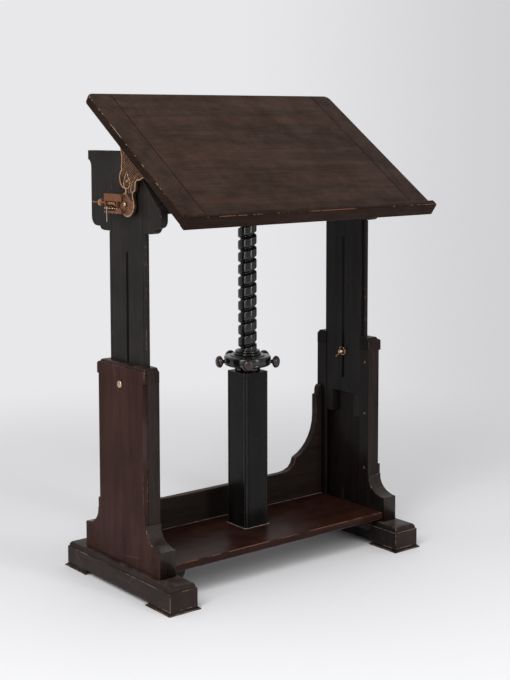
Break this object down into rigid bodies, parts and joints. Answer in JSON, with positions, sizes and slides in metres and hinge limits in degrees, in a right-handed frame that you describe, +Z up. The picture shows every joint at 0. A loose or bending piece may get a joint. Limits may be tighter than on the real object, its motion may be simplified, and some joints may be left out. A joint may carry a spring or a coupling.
{
  "type": "adjustable reading lectern",
  "caption": "Dark wood reading lectern on sledge feet: a wooden screw and capstan nut raise slotted boards in hollow uprights, and a ledged desk tilts on cast brackets with sprung brakes.",
  "frame": {"origin": "on the floor, under the middle of the whole lectern's box at rest", "axes": "+X along the desk's width to the reader's right, -Y towards the reader, +Z up"},
  "size_m": [0.865, 0.5516, 1.2665],
  "materials": {
    "brown_wood": "dark red-brown stain, waxed, worn at the edges",
    "black_wood": "ebonised, dull wax",
    "turned_wood": "ebonised, polished by use",
    "shelf_wood": "polished red-brown, worn at the front edge",
    "desk_wood": "dark brown stain, waxed",
    "cast_iron": "brown rust patina, cast relief",
    "rusted_iron": "orange-brown rust patina",
    "spring_steel": "drawn wire, tarnished",
    "brass": "tarnished, bright where handled"
  },
  "bodies": {
    "stand": {"left_front_flare_block": "brown_wood", "left_front_foot_pad": "brown_wood", "left_front_jamb": "black_wood", "left_back_flare_block": "brown_wood", "left_back_foot_pad": "brown_wood", "left_back_jamb": "black_wood", "left_foot_bar": "brown_wood", "left_outer_panel": "brown_wood", "left_upright_cap": "brown_wood", "left_shelf_bearer": "black_wood", "left_clamp_bolt": "brass", "right_front_flare_block": "brown_wood", "right_front_foot_pad": "brown_wood", "right_front_jamb": "black_wood", "right_back_flare_block": "brown_wood", "right_back_foot_pad": "brown_wood", "right_back_jamb": "black_wood", "right_foot_bar": "brown_wood", "right_outer_panel": "brown_wood", "right_upright_cap": "brown_wood", "right_shelf_bearer": "black_wood", "right_clamp_bolt": "brass", "rear_stretcher": "black_wood", "shelf": "shelf_wood", "centre_post": "black_wood"},
    "lift": {"left_front_runner": "black_wood", "left_front_wing": "black_wood", "left_back_runner": "black_wood", "left_back_wing": "black_wood", "left_slide_board": "black_wood", "left_pivot_bolt": "cast_iron", "left_brake_housing": "rusted_iron", "left_plunger_spring": "spring_steel", "right_front_runner": "black_wood", "right_front_wing": "black_wood", "right_back_runner": "black_wood", "right_back_wing": "black_wood", "right_slide_board": "black_wood", "right_pivot_bolt": "cast_iron", "right_brake_housing": "rusted_iron", "right_plunger_spring": "spring_steel", "cross_rail": "black_wood", "screw_spindle": "turned_wood"},
    "desk": {"desk_panel": "desk_wood", "left_desk_cleat": "desk_wood", "right_desk_cleat": "desk_wood", "desk_ledge": "desk_wood", "left_tilt_bracket": "cast_iron", "right_tilt_bracket": "cast_iron"},
    "nut": {"capstan_nut": "turned_wood", "nut_knob_1": "turned_wood", "nut_knob_2": "turned_wood", "nut_knob_3": "turned_wood", "nut_knob_4": "turned_wood", "nut_knob_5": "turned_wood"},
    "left_plunger": {"left_plunger": "rusted_iron"},
    "right_plunger": {"right_plunger": "rusted_iron"},
    "left_wing_nut": {"left_wing_nut": "brass"},
    "right_wing_nut": {"right_wing_nut": "brass"}
  },
  "joints": [
    {"name": "height_slide", "type": "slide", "parent": "stand", "child": "lift", "axis": [0, 0, 1], "range_m": [-0.27, 0.065]},
    {"name": "nut_turn", "type": "hinge", "parent": "stand", "child": "nut", "pos_m": [0, 0.02235, 0.545], "axis": [0, 0, 1], "range_deg": [-712, 2948]},
    {"name": "desk_tilt", "type": "hinge", "parent": "lift", "child": "desk", "pos_m": [0, 0.01435, 0.988], "axis": [1, 0, 0], "range_deg": [-23, 24.5]},
    {"name": "left_plunger_pull", "type": "slide", "parent": "lift", "child": "left_plunger", "axis": [0, 1, 0], "range_m": [0, 0.008], "stiffness_N_per_m": 500, "springref_m": -0.006, "deforming": ["left_plunger_spring"]},
    {"name": "right_plunger_pull", "type": "slide", "parent": "lift", "child": "right_plunger", "axis": [0, 1, 0], "range_m": [0, 0.008], "stiffness_N_per_m": 500, "springref_m": -0.006, "deforming": ["right_plunger_spring"]},
    {"name": "left_wing_nut_turn", "type": "hinge", "parent": "stand", "child": "left_wing_nut", "pos_m": [-0.355, 0.03334, 0.531], "axis": [1, 0, 0], "continuous": true},
    {"name": "right_wing_nut_turn", "type": "hinge", "parent": "stand", "child": "right_wing_nut", "pos_m": [0.355, 0.03334, 0.531], "axis": [1, 0, 0], "continuous": true}
  ],
  "couplings": [
    {"joint": "nut_turn", "follows": "height_slide", "rad_per_m": -190.4}
  ]
}
